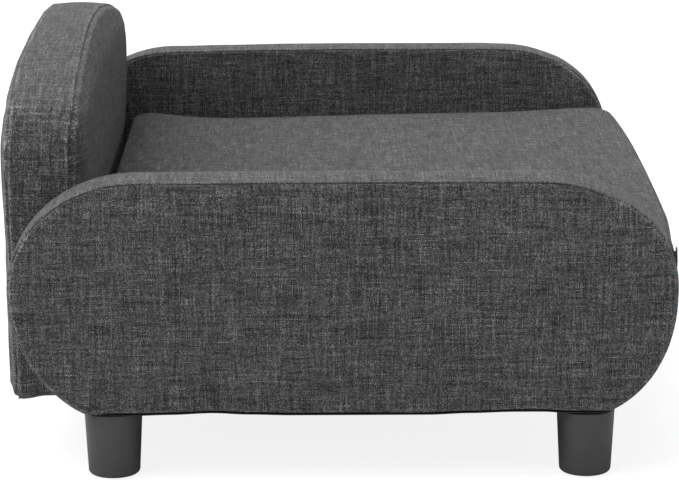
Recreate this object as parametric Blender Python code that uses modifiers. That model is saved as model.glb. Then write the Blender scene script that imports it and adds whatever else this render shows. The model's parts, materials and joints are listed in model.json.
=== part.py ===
"""Upholstered dog sofa bed: two rounded arms, an arched back, a plywood-topped base and a loose cushion.

Frame: metres, +Z up, origin on the floor under the middle of the arms. The front faces -Y.
Every upholstered panel is built as it is sewn: a thin fabric skin over foam, over a plywood and pine frame.
"""

from math import asin, atan2, cos, degrees, pi, radians, sin, sqrt

import bmesh
import bpy
from mathutils import Matrix, Vector

# ---- driving dimensions (metres) ----
HALF_WIDTH = 0.400          # middle of the bed to an arm's outer face
ARM_THICKNESS = 0.060
ARM_HALF_LENGTH = 0.3175    # middle of an arm to its front or rear tip
ARM_END_REACH = 0.1225      # length of an arm's rounded end
ARM_BOTTOM = 0.065
ARM_WIDEST = 0.186          # height of the tips of the rounded ends
ARM_UPPER = 0.105           # rise from the tips to the top of the arm
ARM_LOWER_FRONT = 0.139     # drop of the lower front curve, cut off flat at ARM_BOTTOM
ARM_LOWER_REAR = 0.132
ARM_EDGE = 0.007

BACK_FRONT = 0.2535         # the back's front face
BACK_THICKNESS = 0.070
BACK_TOP = 0.385
BACK_ARCH_RADIUS = 1.65
BACK_SHOULDER = 0.050       # radius of the back's two upper corners
BACK_FOOT = 0.014
BACK_EDGE = 0.010
BACK_FRAME_HALF_WIDTH = 0.312
BACK_POST_WIDTH = 0.030
BACK_POST_TOP = 0.300
BACK_LOW_RAIL_TOP = 0.112
BACK_ARCH_RAIL = 0.034      # height of the curved top rail
BACK_ARCH_RAIL_HALF_WIDTH = 0.240
BACK_OPENING_HALF_WIDTH = 0.300
BACK_FOAM_FRONT = 0.020
BACK_FOAM_REAR = 0.0081

CUSHION_FRONT = -0.322
CUSHION_REAR = 0.2415
CUSHION_HALF_WIDTH = 0.337
CUSHION_BOTTOM = 0.1405
CUSHION_TOP = 0.217
CUSHION_CORNER = 0.030
CUSHION_EDGE = 0.012
LABEL_X = (-0.331, -0.296)
LABEL_Z = (0.178, 0.203)
LABEL_THICKNESS = 0.0012
ZIP_Z = 0.184
ZIP_HALF_LENGTH = 0.290
ZIP_CHAIN_HALF_HEIGHT = 0.003
ZIP_CHAIN_THICKNESS = 0.0012
SLIDER_X = 0.270

SKIN = 0.0012               # upholstery fabric
GAP = 0.0003                # between pieces that touch
ARM_FOAM = 0.0095
RIM_FOAM = 0.0125           # foam round the rim of an arm or the back
BOARD = 0.005
CLOTH = 0.0008              # black non-woven cloth
CLOTH_OVERLAP = 0.006       # how far a cloth reaches past the opening it covers
ARM_OPENING_HALF_WIDTH = 0.020

RAIL = 0.018
RAIL_BOTTOM = 0.069
RAIL_TOP = 0.133
BASE_FRONT = -0.246
BASE_REAR = 0.2525
BASE_HALF_WIDTH = 0.3385
BASE_SETBACK = 0.004        # the base's curved front behind the arms' outline
BASE_COVER_HEM = -0.215     # where the cover ends under the base

LEG_FRONT_Y = -0.231
LEG_REAR_Y = 0.2205
LEG_TOP_RADIUS = 0.0277
LEG_FOOT_RADIUS = 0.0240
LEG_FOOT_ROUNDING = 0.004
LEG_FOOT_Z = 0.001
GLIDE_RADIUS = 0.0155
GLIDE_THICKNESS = 0.003
STUD_RADIUS = 0.004
STUD_BOTTOM = 0.040
STUD_TOP = 0.104
NUT_FLANGE_RADIUS = 0.011
NUT_FLANGE = 0.0015
NUT_BARREL = 0.010

BOLT_RADIUS = 0.003
BOLT_HEAD_RADIUS = 0.0065
BOLT_HEAD = 0.004
BOLT_HOLE = 0.0035
ARM_BOLT_LENGTH = 0.044
BACK_BOLT_LENGTH = 0.058
ARM_BOLT_Y = (-0.200, 0.160)
ARM_BOLT_Z = 0.115
BACK_BOLT_X = 0.200
BACK_BOLT_Z = 0.092

# ---- sizes worked out from those ----
ARM_INSIDE = HALF_WIDTH - ARM_THICKNESS
ARM_MIDDLE = HALF_WIDTH - ARM_THICKNESS / 2
ARM_TOP_SPACER_Y = (-0.200, 0.200)
ARM_TOP_SPACER_Z = (0.250, 0.275)
ARM_POCKET = ARM_THICKNESS - 2 * (SKIN + GAP + ARM_FOAM)
SPACER = ARM_POCKET - 2 * BOARD - 4 * GAP
SPACER_BOTTOM = ARM_BOTTOM + 0.0025
SPACER_TOP = SPACER_BOTTOM + 0.030
OPENING_FRONT = LEG_FRONT_Y - 0.012     # the stapled opening under an arm
OPENING_REAR = LEG_REAR_Y + 0.013
CLOTH_TOP = ARM_BOTTOM - GAP
LEG_TOP = CLOTH_TOP - CLOTH - GAP
DECK_BOTTOM = RAIL_TOP + GAP
DECK_TOP = DECK_BOTTOM + BOARD
BACK_HALF_WIDTH = ARM_INSIDE - 0.0005
BACK_REAR = BACK_FRONT + BACK_THICKNESS
BACK_POCKET_FRONT = BACK_FRONT + SKIN + GAP + BACK_FOAM_FRONT
BACK_POCKET_REAR = BACK_REAR - SKIN - GAP - BACK_FOAM_REAR
BACK_RAIL_FRONT = BACK_POCKET_FRONT + GAP + BOARD + GAP
BACK_RAIL_REAR = BACK_POCKET_REAR - GAP

FABRIC = ("grey_fabric", (0.070, 0.073, 0.072), 0.95, 0.0)
FOAM = ("foam", (0.80, 0.76, 0.58), 0.90, 0.0)
PLYWOOD = ("plywood", (0.62, 0.45, 0.27), 0.70, 0.0)
PINE = ("pine", (0.72, 0.54, 0.32), 0.65, 0.0)
BLACK_CLOTH = ("black_cloth", (0.018, 0.018, 0.019), 0.95, 0.0)
PLASTIC = ("black_plastic", (0.035, 0.035, 0.036), 0.45, 0.0)
FELT = ("felt", (0.05, 0.05, 0.05), 1.0, 0.0)
STEEL = ("zinc_steel", (0.62, 0.62, 0.60), 0.35, 1.0)
LABEL = ("label", (0.012, 0.012, 0.013), 0.80, 0.0)


# ---- Blender helpers ----
def clear_scene():
    for obj in list(bpy.data.objects):
        bpy.data.objects.remove(obj)


def new_collection(name):
    collection = bpy.data.collections.new(name)
    bpy.context.scene.collection.children.link(collection)
    return collection


def material(spec):
    name, colour, roughness, metallic = spec
    made = bpy.data.materials.get(name)
    if made is None:
        made = bpy.data.materials.new(name)
        made.use_nodes = True
        shader = made.node_tree.nodes["Principled BSDF"]
        shader.inputs["Base Color"].default_value = (*colour, 1.0)
        shader.inputs["Roughness"].default_value = roughness
        shader.inputs["Metallic"].default_value = metallic
    return made


def add_object(name, mesh, spec, smooth=False):
    """A named sub-part in the bed's collection, or a hidden cutter where spec is None."""
    obj = bpy.data.objects.new(name, mesh)
    if spec is None:
        CUTTERS.objects.link(obj)
        obj.hide_render = True
        obj.display_type = "WIRE"
    else:
        PARTS.objects.link(obj)
        mesh.materials.append(material(spec))
    if smooth:
        mesh.shade_smooth()
        mesh.set_sharp_from_angle(angle=radians(35))
    return obj


def round_edges(obj, width, segments=2):
    bevel = obj.modifiers.new("rounded_edges", "BEVEL")
    bevel.width = width
    bevel.segments = segments
    bevel.limit_method = "ANGLE"
    bevel.angle_limit = radians(50)


def cut(obj, *cutters):
    for cutter in cutters:
        boolean = obj.modifiers.new(f"cut_{cutter.name}", "BOOLEAN")
        boolean.operation = "DIFFERENCE"
        boolean.object = cutter


def box(name, low, high, spec, edge=0.0):
    """A block between two opposite corners."""
    low, high = Vector(low), Vector(high)
    bm = bmesh.new()
    bmesh.ops.create_cube(bm, size=1.0)
    bmesh.ops.scale(bm, vec=high - low, verts=bm.verts)
    mesh = bpy.data.meshes.new(name)
    bm.to_mesh(mesh)
    bm.free()
    obj = add_object(name, mesh, spec)
    obj.location = (low + high) / 2
    if edge:
        round_edges(obj, edge)
    return obj


def rod(name, start, end, radius, spec, sides=20):
    """A straight cylinder between two points, as a piece or as the cutter for a hole."""
    start, end = Vector(start), Vector(end)
    bm = bmesh.new()
    length = (end - start).length
    bmesh.ops.create_cone(bm, cap_ends=True, segments=sides, radius1=radius, radius2=radius, depth=length)
    mesh = bpy.data.meshes.new(name)
    bm.to_mesh(mesh)
    bm.free()
    obj = add_object(name, mesh, spec, smooth=True)
    obj.location = (start + end) / 2
    obj.rotation_mode = "QUATERNION"
    obj.rotation_quaternion = (end - start).to_track_quat("Z", "Y")
    return obj


def turned(name, profile, spec, location=(0, 0, 0), rotation=(0, 0, 0), steps=24, closed=False):
    """A profile of (radius, height) points, listed down its outer side, spun about local Z."""
    mesh = bpy.data.meshes.new(name)
    count = len(profile)
    edges = [(i, i + 1) for i in range(count - 1)] + ([(count - 1, 0)] if closed else [])
    mesh.from_pydata([(radius, 0, height) for radius, height in profile], edges, [])
    obj = add_object(name, mesh, spec)
    obj.location = location
    obj.rotation_euler = rotation
    screw = obj.modifiers.new("turned", "SCREW")
    screw.angle = 2 * pi
    screw.steps = steps
    screw.render_steps = steps
    screw.use_merge_vertices = True
    screw.merge_threshold = 0.00001
    return obj


def plate(name, outline, thickness, location, rotation, spec, edge=0.0, segments=2):
    """A flat outline given a thickness. The 2D curve becomes a mesh, so that it can be cut."""
    curve = bpy.data.curves.new(name + "_outline", "CURVE")
    curve.dimensions = "2D"
    curve.fill_mode = "BOTH"
    curve.extrude = thickness / 2
    spline = curve.splines.new("POLY")
    spline.points.add(len(outline) - 1)
    spline.use_cyclic_u = True
    for point, (u, v) in zip(spline.points, outline):
        point.co = (u, v, 0, 1)
    guide = bpy.data.objects.new(name + "_guide", curve)
    PARTS.objects.link(guide)
    bpy.context.view_layer.update()
    evaluated = guide.evaluated_get(bpy.context.evaluated_depsgraph_get())
    mesh = bpy.data.meshes.new_from_object(evaluated)
    bpy.data.objects.remove(guide)
    bm = bmesh.new()
    bm.from_mesh(mesh)
    bmesh.ops.remove_doubles(bm, verts=bm.verts, dist=0.00001)
    bmesh.ops.dissolve_limit(bm, angle_limit=radians(1), verts=bm.verts, edges=bm.edges)
    bmesh.ops.recalc_face_normals(bm, faces=bm.faces)
    bm.to_mesh(mesh)
    bm.free()
    mesh.name = name
    mesh.materials.clear()
    obj = add_object(name, mesh, spec)
    obj.matrix_world = Matrix.LocRotScale(Vector(location), rotation, None)
    if edge:
        round_edges(obj, edge, segments)
    return obj


# ---- outlines ----
SIDE_ON = Matrix(((0, 0, 1), (1, 0, 0), (0, 1, 0))).to_quaternion()      # outline in Y and Z, thickness in X
FRONT_ON = Matrix(((1, 0, 0), (0, 0, -1), (0, 1, 0))).to_quaternion()    # outline in X and Z, thickness in Y
FLAT = Matrix.Identity(3).to_quaternion()                                # outline in X and Y, thickness in Z


def arc(centre, reach, rise, start, end, steps):
    """Points along an elliptical arc, from start to end in radians."""
    angles = [start + (end - start) * i / steps for i in range(steps + 1)]
    return [(centre[0] + reach * cos(a), centre[1] + rise * sin(a)) for a in angles]


def arm_outline(inset=0.0, bottom=ARM_BOTTOM, steps=7):
    """The arm seen from its side, as (y, z): a long pill whose underside is cut off flat."""
    centre = ARM_HALF_LENGTH - ARM_END_REACH
    reach = ARM_END_REACH - inset
    upper = ARM_UPPER - inset
    drop = ARM_WIDEST - bottom
    points = []
    for side, lower in ((1, ARM_LOWER_REAR), (-1, ARM_LOWER_FRONT)):
        lower = max(lower - inset, drop + 0.001)
        cut_angle = asin(drop / lower)
        low_arc = arc((0, 0), reach, lower, -cut_angle, 0, steps)
        high_arc = arc((0, 0), reach, upper, 0, pi / 2, steps)[1:]
        end = [(side * (centre + y), ARM_WIDEST + z) for y, z in low_arc + high_arc]
        points += end if side > 0 else end[::-1]
    return points


def arm_front_curve(inset, low, high, steps=6):
    """The arm's lower front curve between two heights, as (y, z), from the bottom up."""
    centre = ARM_HALF_LENGTH - ARM_END_REACH
    drop = ARM_LOWER_FRONT - inset
    start, end = (pi + asin((ARM_WIDEST - z) / drop) for z in (low, high))
    return arc((-centre, ARM_WIDEST), ARM_END_REACH - inset, drop, start, end, steps)


def back_arch(inset, bottom_offset, half_span, steps):
    """Part of the back's top curve as (x, z), bottom_offset below it, from right to left."""
    radius = BACK_ARCH_RADIUS - inset - bottom_offset
    spread = asin(half_span / radius)
    return arc((0, BACK_TOP - BACK_ARCH_RADIUS), radius, radius, pi / 2 - spread, pi / 2 + spread, steps)


def back_outline(inset=0.0, bottom=ARM_BOTTOM, steps=6):
    """The back seen from the front, as (x, z): upright sides, round shoulders and a low arch."""
    half = BACK_HALF_WIDTH - inset
    arch = BACK_ARCH_RADIUS - inset
    shoulder = BACK_SHOULDER - inset
    arch_z = BACK_TOP - BACK_ARCH_RADIUS
    shoulder_x = half - shoulder
    shoulder_z = arch_z + sqrt((arch - shoulder) ** 2 - shoulder_x**2)
    meet = atan2(shoulder_z - arch_z, shoulder_x)
    foot = arc((half - BACK_FOOT, bottom + BACK_FOOT), BACK_FOOT, BACK_FOOT, -pi / 2, 0, 2)
    right = foot + arc((shoulder_x, shoulder_z), shoulder, shoulder, 0, meet, steps)
    top = arc((0, arch_z), arch, arch, meet, pi - meet, 2 * steps)[1:-1]
    return right + top + [(-x, z) for x, z in reversed(right)]


def rounded_rectangle(low, high, corner, steps=4):
    """A rectangle between two corners with equal round corners."""
    centres = (
        (high[0] - corner, low[1] + corner, -pi / 2),
        (high[0] - corner, high[1] - corner, 0),
        (low[0] + corner, high[1] - corner, pi / 2),
        (low[0] + corner, low[1] + corner, pi),
    )
    return [p for x, y, start in centres for p in arc((x, y), corner, corner, start, start + pi / 2, steps)]


def cushion_outline(inset=0.0):
    low = (-CUSHION_HALF_WIDTH + inset, CUSHION_FRONT + inset)
    high = (CUSHION_HALF_WIDTH - inset, CUSHION_REAR - inset)
    return rounded_rectangle(low, high, CUSHION_CORNER - inset)


# ---- fasteners ----
def bolt(name, seat, direction, length):
    """A pan-head bolt with a hex socket: its head bears on seat, and its shank runs along direction."""
    socket, socket_depth = 0.0023, 0.0025
    profile = [
        (0, BOLT_HEAD - socket_depth),
        (socket, BOLT_HEAD - socket_depth),
        (socket, BOLT_HEAD),
        (BOLT_HEAD_RADIUS - 0.0015, BOLT_HEAD),
        (BOLT_HEAD_RADIUS, 0.0015),
        (BOLT_HEAD_RADIUS, 0),
        (BOLT_RADIUS, 0),
        (BOLT_RADIUS, 0.001 - length),
        (BOLT_RADIUS - 0.001, -length),
        (0, -length),
    ]
    turn = (-Vector(direction)).to_track_quat("Z", "Y").to_euler()
    return turned(name, profile, STEEL, location=seat, rotation=turn, steps=12)


def bolt_hole(name, seat, direction, length):
    start = Vector(seat) - Vector(direction) * 0.0001
    return rod(name, start, start + Vector(direction) * (length + 0.002), BOLT_HOLE, None, sides=12)


# ---- arms ----
def build_arm(side, sign):
    """One arm, from its skin inwards. sign is -1 on the left and 1 on the right, seen from the front."""
    name = f"arm_{side}"
    middle = sign * ARM_MIDDLE

    def arm_plate(piece, x, thickness, inset, spec, bottom=ARM_BOTTOM, edge=0.0, steps=7):
        return plate(piece, arm_outline(inset, bottom, steps), thickness, (x, 0, 0), SIDE_ON, spec, edge)

    def arm_box(piece, half_thickness, y, z, spec, edge=0.0):
        low = (middle - half_thickness, y[0], z[0])
        return box(piece, low, (middle + half_thickness, y[1], z[1]), spec, edge)

    opening = (OPENING_FRONT, OPENING_REAR)
    holes = []
    for i, y in enumerate(ARM_BOLT_Y):
        seat = (sign * (BASE_HALF_WIDTH - RAIL - GAP), y, ARM_BOLT_Z)
        direction = (sign, 0, 0)
        place = ("front", "rear")[i]
        bolt(f"arm_bolt_{side}_{place}", seat, direction, ARM_BOLT_LENGTH)
        holes.append(bolt_hole(f"hole_{side}_{place}", seat, direction, ARM_BOLT_LENGTH))

    cover = arm_plate(f"{name}_cover", middle, ARM_THICKNESS, 0, FABRIC, edge=ARM_EDGE)
    lining = arm_plate(f"{name}_lining", middle, ARM_THICKNESS - 2 * SKIN, SKIN, None,
                       ARM_BOTTOM + SKIN, ARM_EDGE - SKIN)
    mouth = arm_box(f"{name}_mouth", ARM_OPENING_HALF_WIDTH, opening,
                    (ARM_BOTTOM - 0.01, ARM_BOTTOM + 0.01), None)
    cut(cover, lining, mouth, *holes)

    inset = SKIN + GAP
    foam = arm_plate(f"{name}_foam", middle, ARM_THICKNESS - 2 * inset, inset, FOAM,
                     ARM_BOTTOM + inset, ARM_EDGE - inset)
    pocket_inset = inset + RIM_FOAM
    pocket = arm_plate(f"{name}_pocket", middle, ARM_POCKET, pocket_inset, None, SPACER_BOTTOM, steps=5)
    channel = arm_box(f"{name}_channel", ARM_POCKET / 2, opening,
                      (ARM_BOTTOM - 0.01, SPACER_TOP + GAP), None)
    cut(foam, pocket, channel, *holes)

    board_inset = pocket_inset + GAP
    board_offset = ARM_POCKET / 2 - GAP - BOARD / 2
    board_bottom = SPACER_BOTTOM + GAP
    arm_plate(f"{name}_outer_board", middle + sign * board_offset, BOARD, board_inset, PLYWOOD,
              board_bottom, steps=5)
    inner = arm_plate(f"{name}_inner_board", middle - sign * board_offset, BOARD, board_inset, PLYWOOD,
                      board_bottom, steps=5)
    cut(inner, *holes)

    spacer = arm_box(f"{name}_bottom_spacer", SPACER / 2, (opening[0] + GAP, opening[1] - GAP),
                     (SPACER_BOTTOM, SPACER_TOP), PINE)
    arm_box(f"{name}_top_spacer", SPACER / 2, ARM_TOP_SPACER_Y, ARM_TOP_SPACER_Z, PINE)
    cloth = arm_box(f"{name}_underside_cloth", ARM_OPENING_HALF_WIDTH + CLOTH_OVERLAP,
                    (opening[0] - CLOTH_OVERLAP, opening[1] + CLOTH_OVERLAP),
                    (CLOTH_TOP - CLOTH, CLOTH_TOP), BLACK_CLOTH)
    for place, y in (("front", LEG_FRONT_Y), ("rear", LEG_REAR_Y)):
        hole = rod(f"stud_hole_{side}_{place}", (middle, y, LEG_TOP - 0.01), (middle, y, SPACER_TOP + 0.01),
                   STUD_RADIUS + 0.0013, None, sides=16)
        cut(spacer, hole)
        cut(cloth, hole)
        build_leg(f"{place}_{side}", middle, y)
    return holes


def build_leg(place, x, y):
    """A tapered plastic leg, the stud that screws it on, the T-nut it screws into, and its felt glide."""
    bore = STUD_RADIUS + GAP
    recess = GLIDE_RADIUS + GAP
    rounding_centre = (LEG_FOOT_RADIUS - LEG_FOOT_ROUNDING, LEG_FOOT_Z + LEG_FOOT_ROUNDING)
    rounding = arc(rounding_centre, LEG_FOOT_ROUNDING, LEG_FOOT_ROUNDING, 0, -pi / 2, 3)
    profile = [
        (0, STUD_BOTTOM - GAP),
        (bore, STUD_BOTTOM - GAP),
        (bore, LEG_TOP),
        (LEG_TOP_RADIUS - 0.001, LEG_TOP),
        (LEG_TOP_RADIUS, LEG_TOP - 0.001),
        *rounding,
        (recess, LEG_FOOT_Z),
        (recess, GLIDE_THICKNESS + GAP),
        (0, GLIDE_THICKNESS + GAP),
    ]
    turned(f"leg_{place}", profile, PLASTIC, (x, y, 0))

    glide = [(0, GLIDE_THICKNESS), (GLIDE_RADIUS, GLIDE_THICKNESS), (GLIDE_RADIUS, 0), (0, 0)]
    turned(f"leg_glide_{place}", glide, FELT, (x, y, 0))

    chamfer = 0.001
    stud = [
        (0, STUD_TOP),
        (STUD_RADIUS - chamfer, STUD_TOP),
        (STUD_RADIUS, STUD_TOP - chamfer),
        (STUD_RADIUS, STUD_BOTTOM),
        (0, STUD_BOTTOM),
    ]
    turned(f"leg_stud_{place}", stud, STEEL, (x, y, 0), steps=16)

    flange_bottom = SPACER_TOP + GAP
    nut = [
        (bore, flange_bottom + NUT_FLANGE),
        (NUT_FLANGE_RADIUS, flange_bottom + NUT_FLANGE),
        (NUT_FLANGE_RADIUS, flange_bottom),
        (STUD_RADIUS + 0.001, flange_bottom),
        (STUD_RADIUS + 0.001, flange_bottom - NUT_BARREL),
        (bore, flange_bottom - NUT_BARREL),
    ]
    turned(f"leg_nut_{place}", nut, STEEL, (x, y, 0), steps=16, closed=True)


# ---- back ----
def build_back():
    """The arched back: skin, foam, a plywood front board, and a pine frame behind it."""
    middle = BACK_FRONT + BACK_THICKNESS / 2

    def back_plate(piece, y, thickness, inset, spec, bottom=ARM_BOTTOM, edge=0.0, steps=6):
        return plate(piece, back_outline(inset, bottom, steps), thickness, (0, y, 0), FRONT_ON, spec, edge)

    holes = []
    for side, x in (("left", -BACK_BOLT_X), ("right", BACK_BOLT_X)):
        seat = (x, BASE_REAR - RAIL - GAP, BACK_BOLT_Z)
        bolt(f"back_bolt_{side}", seat, (0, 1, 0), BACK_BOLT_LENGTH)
        holes.append(bolt_hole(f"hole_back_{side}", seat, (0, 1, 0), BACK_BOLT_LENGTH))

    cover = back_plate("back_cover", middle, BACK_THICKNESS, 0, FABRIC, edge=BACK_EDGE)
    lining = back_plate("back_lining", middle, BACK_THICKNESS - 2 * SKIN, SKIN, None,
                        ARM_BOTTOM + SKIN, BACK_EDGE - SKIN)
    opening = BACK_OPENING_HALF_WIDTH
    mouth_half_depth = 0.022
    mouth = box("back_mouth", (-opening, middle - mouth_half_depth, ARM_BOTTOM - 0.01),
                (opening, middle + mouth_half_depth, ARM_BOTTOM + 0.01), None)
    cut(cover, lining, mouth, *holes)

    inset = SKIN + GAP
    foam = back_plate("back_foam", middle, BACK_THICKNESS - 2 * inset, inset, FOAM,
                      ARM_BOTTOM + inset, BACK_EDGE - inset)
    pocket_inset = inset + RIM_FOAM
    pocket_middle = (BACK_POCKET_FRONT + BACK_POCKET_REAR) / 2
    pocket = back_plate("back_pocket", pocket_middle, BACK_POCKET_REAR - BACK_POCKET_FRONT, pocket_inset,
                        None, SPACER_BOTTOM, steps=4)
    channel = box("back_channel", (-opening, BACK_POCKET_FRONT, ARM_BOTTOM - 0.01),
                  (opening, BACK_POCKET_REAR, ARM_BOTTOM + 0.01), None)
    cut(foam, pocket, channel, *holes)

    board_inset = pocket_inset + GAP
    board = back_plate("back_board", BACK_POCKET_FRONT + GAP + BOARD / 2, BOARD, board_inset, PLYWOOD,
                       SPACER_BOTTOM + GAP, steps=4)
    rail_middle = (BACK_RAIL_FRONT + BACK_RAIL_REAR) / 2
    rail_inset = board_inset + 0.001
    upper = back_arch(rail_inset, 0, BACK_ARCH_RAIL_HALF_WIDTH, 8)
    lower = back_arch(rail_inset, BACK_ARCH_RAIL, BACK_ARCH_RAIL_HALF_WIDTH - 0.005, 8)
    plate("back_top_rail", upper + lower[::-1], BACK_RAIL_REAR - BACK_RAIL_FRONT, (0, rail_middle, 0),
          FRONT_ON, PINE)
    outside = BACK_FRAME_HALF_WIDTH
    bottom_rail = box("back_bottom_rail", (-outside, BACK_RAIL_FRONT, SPACER_BOTTOM + GAP),
                      (outside, BACK_RAIL_REAR, BACK_LOW_RAIL_TOP), PINE)
    for side, sign in (("left", -1), ("right", 1)):
        near, far = sorted((sign * (outside - BACK_POST_WIDTH), sign * outside))
        box(f"back_post_{side}", (near, BACK_RAIL_FRONT, BACK_LOW_RAIL_TOP + GAP),
            (far, BACK_RAIL_REAR, BACK_POST_TOP), PINE)
    cut(board, *holes)
    cut(bottom_rail, *holes)
    cloth_half_width, cloth_half_depth = opening + 0.020, mouth_half_depth + CLOTH_OVERLAP
    box("back_underside_cloth", (-cloth_half_width, middle - cloth_half_depth, CLOTH_TOP - CLOTH),
        (cloth_half_width, middle + cloth_half_depth, CLOTH_TOP), BLACK_CLOTH)
    return holes


# ---- base ----
def build_base(arm_holes, back_holes):
    """The seat base between the arms: pine rails, a plywood deck, a front pad, a cover and a dust cloth."""
    half = BASE_HALF_WIDTH
    inner_front = BASE_FRONT + RAIL + GAP
    inner_rear = BASE_REAR - RAIL - GAP
    z = (RAIL_BOTTOM, RAIL_TOP)

    box("base_front_rail", (-half, BASE_FRONT, z[0]), (half, BASE_FRONT + RAIL, z[1]), PINE)
    rear = box("base_rear_rail", (-half, BASE_REAR - RAIL, z[0]), (half, BASE_REAR, z[1]), PINE)
    left = box("base_left_rail", (-half, inner_front, z[0]), (-half + RAIL, inner_rear, z[1]), PINE)
    right = box("base_right_rail", (half - RAIL, inner_front, z[0]), (half, inner_rear, z[1]), PINE)
    box("base_centre_rail", (-RAIL / 2, inner_front, z[0]), (RAIL / 2, inner_rear, z[1]), PINE)
    cut(rear, *back_holes)
    cut(left, *arm_holes["left"])
    cut(right, *arm_holes["right"])

    box("deck_board", (-half, BASE_FRONT, DECK_BOTTOM), (half, BASE_REAR, DECK_TOP), PLYWOOD)
    under_top, under_bottom = RAIL_BOTTOM - GAP, RAIL_BOTTOM - GAP - SKIN
    inner_z, outer_z = DECK_TOP + GAP, DECK_TOP + GAP + SKIN
    pad_front = arm_front_curve(BASE_SETBACK + SKIN + GAP, RAIL_BOTTOM, DECK_TOP)
    pad_rear = BASE_FRONT - GAP
    plate("base_front_pad", [(pad_rear, RAIL_BOTTOM), *pad_front, (pad_rear, DECK_TOP)], 2 * half,
          (0, 0, 0), SIDE_ON, FOAM)
    cover_outside = arm_front_curve(BASE_SETBACK, under_bottom, outer_z)
    cover_inside = arm_front_curve(BASE_SETBACK + SKIN, under_top, inner_z)
    section = [
        (BASE_COVER_HEM, under_bottom),
        *cover_outside,
        (BASE_REAR, outer_z),
        (BASE_REAR, inner_z),
        *cover_inside[::-1],
        (BASE_COVER_HEM, under_top),
    ]
    plate("base_cover", section, 2 * (half + 0.0005), (0, 0, 0), SIDE_ON, FABRIC)
    cloth_side, cloth_front = half - 0.0035, BASE_COVER_HEM - 0.020
    box("dust_cover", (-cloth_side, cloth_front, under_bottom - GAP - CLOTH),
        (cloth_side, BASE_REAR, under_bottom - GAP), BLACK_CLOTH)


# ---- cushion ----
def build_cushion():
    """The loose cushion: a foam core in a zipped cover, with a blank label sewn into its front seam."""
    height = CUSHION_TOP - CUSHION_BOTTOM
    middle = (0, 0, (CUSHION_TOP + CUSHION_BOTTOM) / 2)
    inset = SKIN + GAP
    cover = plate("cushion_cover", cushion_outline(), height, middle, FLAT, FABRIC, CUSHION_EDGE, 3)
    lining = plate("cushion_lining", cushion_outline(SKIN), height - 2 * SKIN, middle, FLAT, None,
                   CUSHION_EDGE - SKIN, 3)
    slit = box("cushion_slit", (-ZIP_HALF_LENGTH + 0.01, CUSHION_REAR - 0.01, ZIP_Z - 0.002),
               (ZIP_HALF_LENGTH - 0.01, CUSHION_REAR + 0.01, ZIP_Z + 0.002), None)
    cut(cover, lining, slit)
    plate("cushion_core", cushion_outline(inset), height - 2 * inset, middle, FLAT, FOAM,
          CUSHION_EDGE - inset, 3)
    label_face = CUSHION_FRONT - GAP
    box("cushion_label", (LABEL_X[0], label_face - LABEL_THICKNESS, LABEL_Z[0]),
        (LABEL_X[1], label_face, LABEL_Z[1]), LABEL)
    build_zip()


def build_zip():
    """The zip in the cushion's rear face: its chain, the slider on it, and the pull on the slider."""
    chain_face = CUSHION_REAR + GAP
    chain_rear = chain_face + ZIP_CHAIN_THICKNESS
    box("zip_chain", (-ZIP_HALF_LENGTH, chain_face, ZIP_Z - ZIP_CHAIN_HALF_HEIGHT),
        (ZIP_HALF_LENGTH, chain_rear, ZIP_Z + ZIP_CHAIN_HALF_HEIGHT), BLACK_CLOTH)

    def about_slider(piece, half_width, half_height, front, rear, spec=None):
        low = (SLIDER_X - half_width, front, ZIP_Z - half_height)
        return box(piece, low, (SLIDER_X + half_width, rear, ZIP_Z + half_height), spec)

    body_rear = chain_rear + GAP + 0.0018
    crown_rear = body_rear + 0.0032
    slider = about_slider("zip_slider", 0.006, 0.0045, chain_face, body_rear, STEEL)
    channel = about_slider("zip_slider_channel", 0.01, ZIP_CHAIN_HALF_HEIGHT + GAP, chain_face - 0.001,
                           chain_rear + GAP)
    crown = about_slider("zip_slider_crown", 0.0038, 0.0009, body_rear - 0.0006, crown_rear)
    crown_gap = about_slider("zip_slider_crown_gap", 0.0024, 0.002, body_rear, crown_rear - 0.0010)
    cut(crown, crown_gap)
    cut(slider, channel)
    union = slider.modifiers.new("crown", "BOOLEAN")
    union.operation = "UNION"
    union.object = crown

    crown_limb, eye_radius = 0.0031, 0.0016      # the eye sits on the crown's limb, beside its middle
    eye_x, pull_middle = SLIDER_X - crown_limb, body_rear + 0.0011
    tab = rounded_rectangle((-0.0035, -0.021), (0.0035, 0.0032), 0.0030, steps=3)
    pull = plate("zip_pull", tab, 0.0010, (eye_x, pull_middle, ZIP_Z), FRONT_ON, STEEL)
    eye = rod("zip_pull_eye", (eye_x, pull_middle - 0.003, ZIP_Z), (eye_x, pull_middle + 0.003, ZIP_Z),
              eye_radius, None, sides=12)
    cut(pull, eye)


# ---- the bed ----
clear_scene()
PARTS = new_collection("dog_sofa_bed")
CUTTERS = new_collection("cutters")
ARM_HOLES = {"left": build_arm("left", -1), "right": build_arm("right", 1)}
BACK_HOLES = build_back()
build_base(ARM_HOLES, BACK_HOLES)
build_cushion()
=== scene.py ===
"""Looks of a small upholstered dog sofa bed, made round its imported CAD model.

Metres, +Z up, origin on the floor under the middle of the bed, open front at -Y. The left arm is at -X.
"""

import json
from math import asin, atan2, cos, pi, radians, sin, sqrt

import bmesh
import bpy
import numpy as np
from mathutils import Matrix, Vector, noise


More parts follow.
